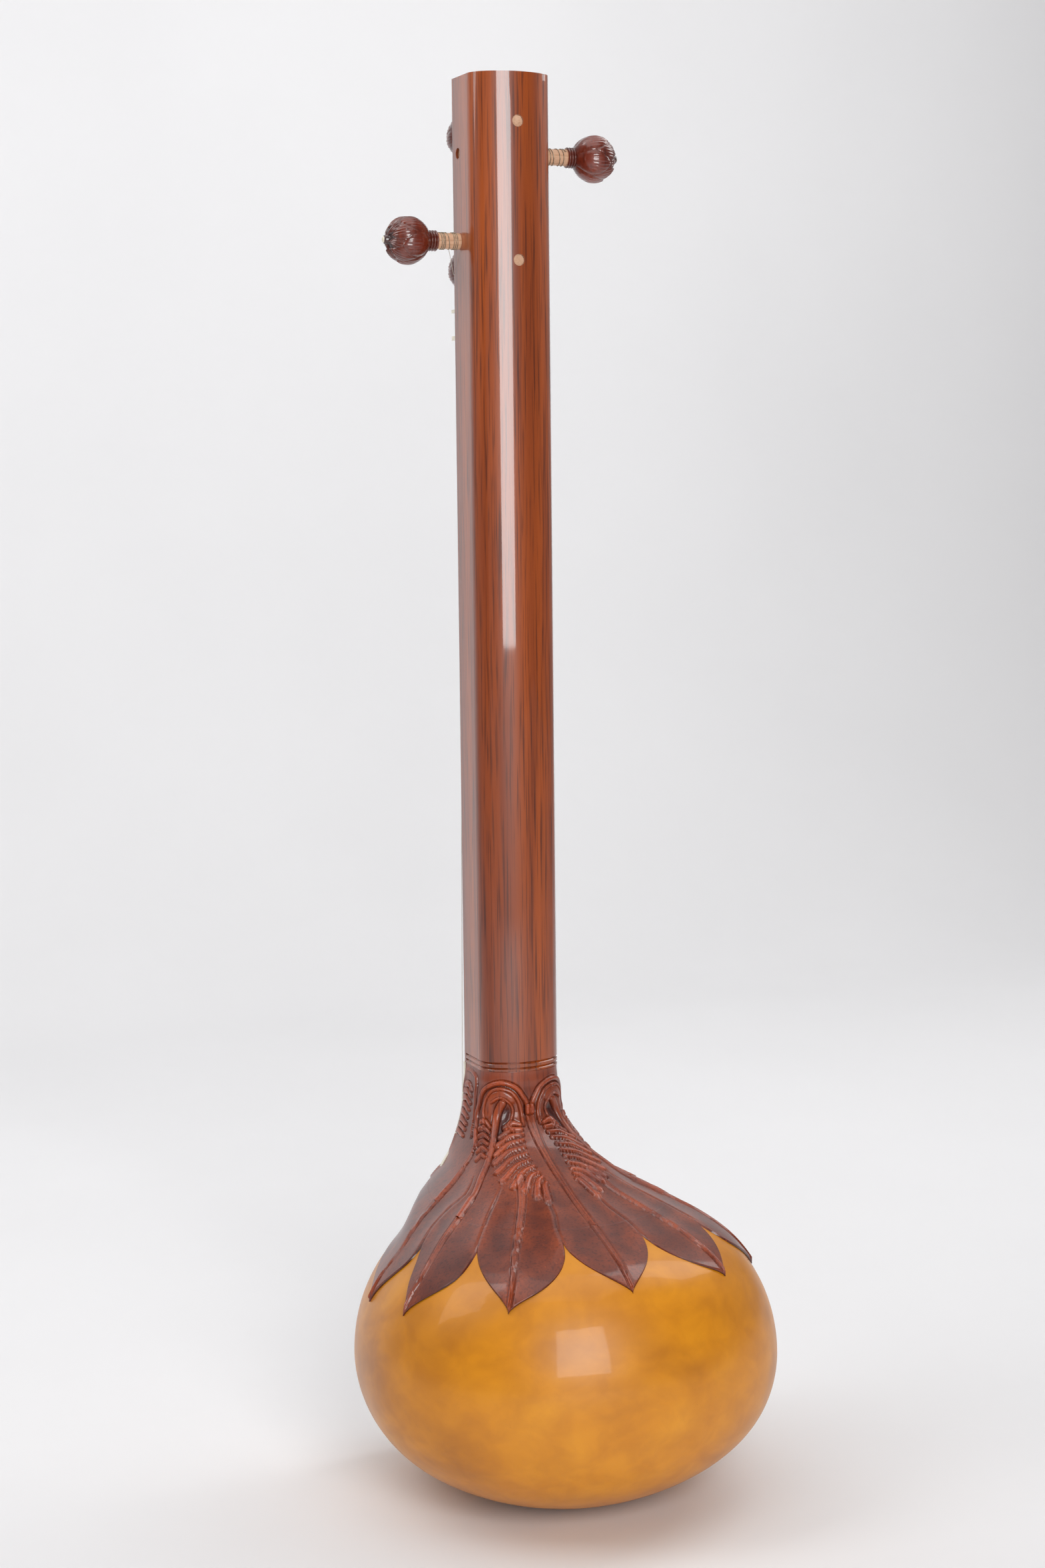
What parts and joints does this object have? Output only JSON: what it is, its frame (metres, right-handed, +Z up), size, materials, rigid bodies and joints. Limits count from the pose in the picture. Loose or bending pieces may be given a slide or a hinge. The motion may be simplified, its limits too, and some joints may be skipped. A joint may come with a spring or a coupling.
{
  "type": "tanpura",
  "caption": "Long-necked drone lute: gourd body with a carved leaf cap, plain hollow neck, bridge, steel strings, carved tuning pegs that turn and tuning beads that slide.",
  "frame": {"origin": "middle of the small flat foot under the gourd, on the gourd's axis", "axes": "+Z up along the neck, -Y towards the soundboard and strings, +X to the right as seen from the strings' side"},
  "size_m": [0.383, 0.4076, 1.278],
  "materials": {
    "gourd_skin": "glossy amber lacquer over dried gourd",
    "carved_wood": "carved tun wood under dark red-brown lacquer",
    "neck_wood": "straight-grained tun wood under red-brown lacquer",
    "bare_wood": "unfinished",
    "board_wood": "tun wood soundboard, lacquered",
    "binding": "pale polished strip",
    "bone": "polished bone",
    "bridge_wood": "dark hardwood",
    "peg_wood": "carved and lacquered heads on bare turned shafts",
    "string_wire": "drawn music wire",
    "cotton": "twisted cotton thread",
    "pin_brass": "polished",
    "bead_glass": "polished"
  },
  "bodies": {
    "instrument": {"bridge_feet": "bridge_wood", "bridge_top": "bone", "cotton_threads": "cotton", "end_block": "bare_wood", "gourd_shell": "gourd_skin", "heel_joint": "carved_wood", "leaf_1": "carved_wood", "leaf_2": "carved_wood", "leaf_3": "carved_wood", "leaf_4": "carved_wood", "leaf_5": "carved_wood", "leaf_6": "carved_wood", "leaf_7": "carved_wood", "neck_dowels": "bare_wood", "neck_front_plate": "neck_wood", "neck_top_cap": "neck_wood", "neck_trough": "neck_wood", "nut": "bone", "soundboard": "board_wood", "soundboard_binding": "binding", "soundboard_lining": "bare_wood", "string_1": "string_wire", "string_2": "string_wire", "string_3": "string_wire", "string_4": "string_wire", "string_guide": "bone", "tail_block": "bare_wood", "tailpiece": "bone", "tailpiece_pins": "pin_brass"},
    "tuning_peg_1": {"peg_1": "peg_wood", "peg_bead_1": "bone", "winding_1": "string_wire"},
    "tuning_peg_2": {"peg_2": "peg_wood", "peg_bead_2": "bone", "winding_2": "string_wire"},
    "tuning_peg_3": {"peg_3": "peg_wood", "peg_bead_3": "bone", "winding_3": "string_wire"},
    "tuning_peg_4": {"peg_4": "peg_wood", "peg_bead_4": "bone", "winding_4": "string_wire"},
    "bead_1": {"tuning_bead_1": "bead_glass"},
    "bead_2": {"tuning_bead_2": "bead_glass"},
    "bead_3": {"tuning_bead_3": "bead_glass"},
    "bead_4": {"tuning_bead_4": "bead_glass"}
  },
  "joints": [
    {"name": "peg_1_turn", "type": "hinge", "parent": "instrument", "child": "tuning_peg_1", "pos_m": [0, -0.161, 1.2347], "axis": [0, -1, 0], "continuous": true},
    {"name": "peg_2_turn", "type": "hinge", "parent": "instrument", "child": "tuning_peg_2", "pos_m": [0, -0.161, 1.1122], "axis": [0, -1, 0], "continuous": true},
    {"name": "peg_3_turn", "type": "hinge", "parent": "instrument", "child": "tuning_peg_3", "pos_m": [-0.0387, -0.1455, 1.2103], "axis": [-1, 0, 0], "continuous": true},
    {"name": "peg_4_turn", "type": "hinge", "parent": "instrument", "child": "tuning_peg_4", "pos_m": [0.0387, -0.1455, 1.1319], "axis": [1, 0, 0], "continuous": true},
    {"name": "bead_1_slide", "type": "slide", "parent": "instrument", "child": "bead_1", "axis": [-0.0763, -0.3636, 0.9284], "range_m": [-0.012, 0.02]},
    {"name": "bead_2_slide", "type": "slide", "parent": "instrument", "child": "bead_2", "axis": [-0.0255, -0.3646, 0.9308], "range_m": [-0.012, 0.02]},
    {"name": "bead_3_slide", "type": "slide", "parent": "instrument", "child": "bead_3", "axis": [0.0255, -0.3646, 0.9308], "range_m": [-0.012, 0.02]},
    {"name": "bead_4_slide", "type": "slide", "parent": "instrument", "child": "bead_4", "axis": [0.0763, -0.3636, 0.9284], "range_m": [-0.012, 0.02]}
  ]
}
